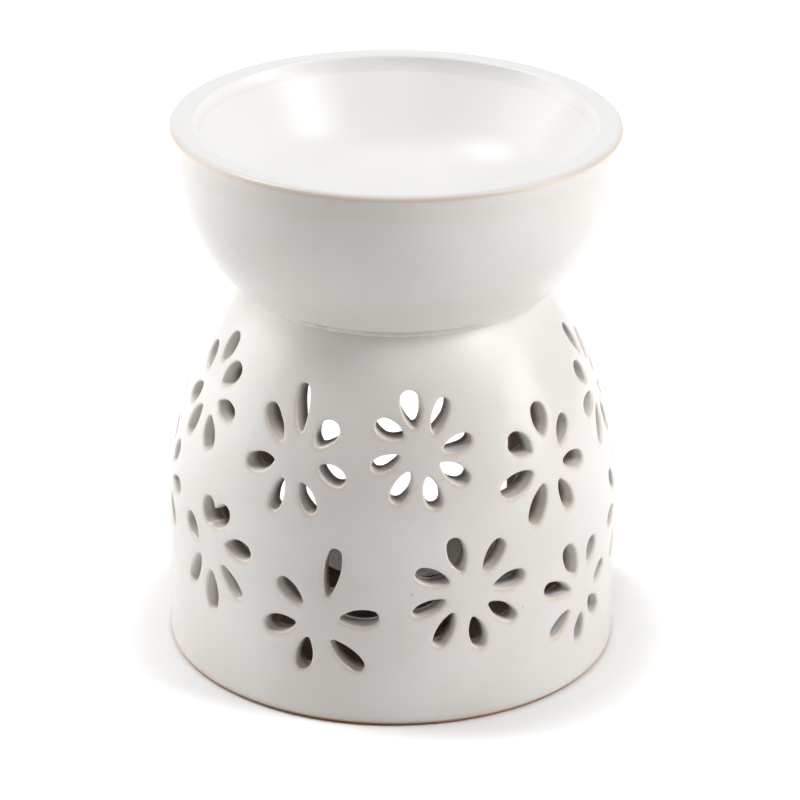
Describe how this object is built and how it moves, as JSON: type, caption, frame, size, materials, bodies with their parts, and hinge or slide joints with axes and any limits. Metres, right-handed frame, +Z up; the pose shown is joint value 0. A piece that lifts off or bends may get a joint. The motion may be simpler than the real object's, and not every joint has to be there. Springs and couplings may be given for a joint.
{
  "type": "essential oil burner",
  "caption": "Round ceramic oil burner: pierced tealight chamber with an arch at the back and an open oil bowl on top.",
  "frame": {"origin": "centre of the foot ring, on the surface that the burner stands on", "axes": "+Z up along the burner's axis; -Y is the front, with no opening but the pierced flowers; +Y is the back, where the arch opens; +X is to the right seen from the front"},
  "size_m": [0.1034, 0.1034, 0.1259],
  "materials": {
    "body_glaze": "satin white glaze breaking to tan at cut edges, brown unglazed inside",
    "slip_glaze": "satin white glaze, lighter where it pools",
    "bowl_glaze": "satin white glaze, tan line at the rim",
    "tealight_foil": "thin pressed foil, bright",
    "tab_steel": "tinned, dull",
    "wax": "paraffin wax, slightly translucent, waxy sheen",
    "wick_cotton": "braided waxed cotton, unburnt"
  },
  "bodies": {
    "burner": {"burner_body": "body_glaze", "joint_slip": "slip_glaze", "oil_bowl": "bowl_glaze"},
    "tealight": {"tealight_cup": "tealight_foil", "wick_tab": "tab_steel", "tealight_wax": "wax", "tealight_wick": "wick_cotton"}
  },
  "joints": [
    {"name": "tealight_slide", "type": "slide", "parent": "burner", "child": "tealight", "axis": [0, 1, 0], "range_m": [0, 0.08]}
  ]
}
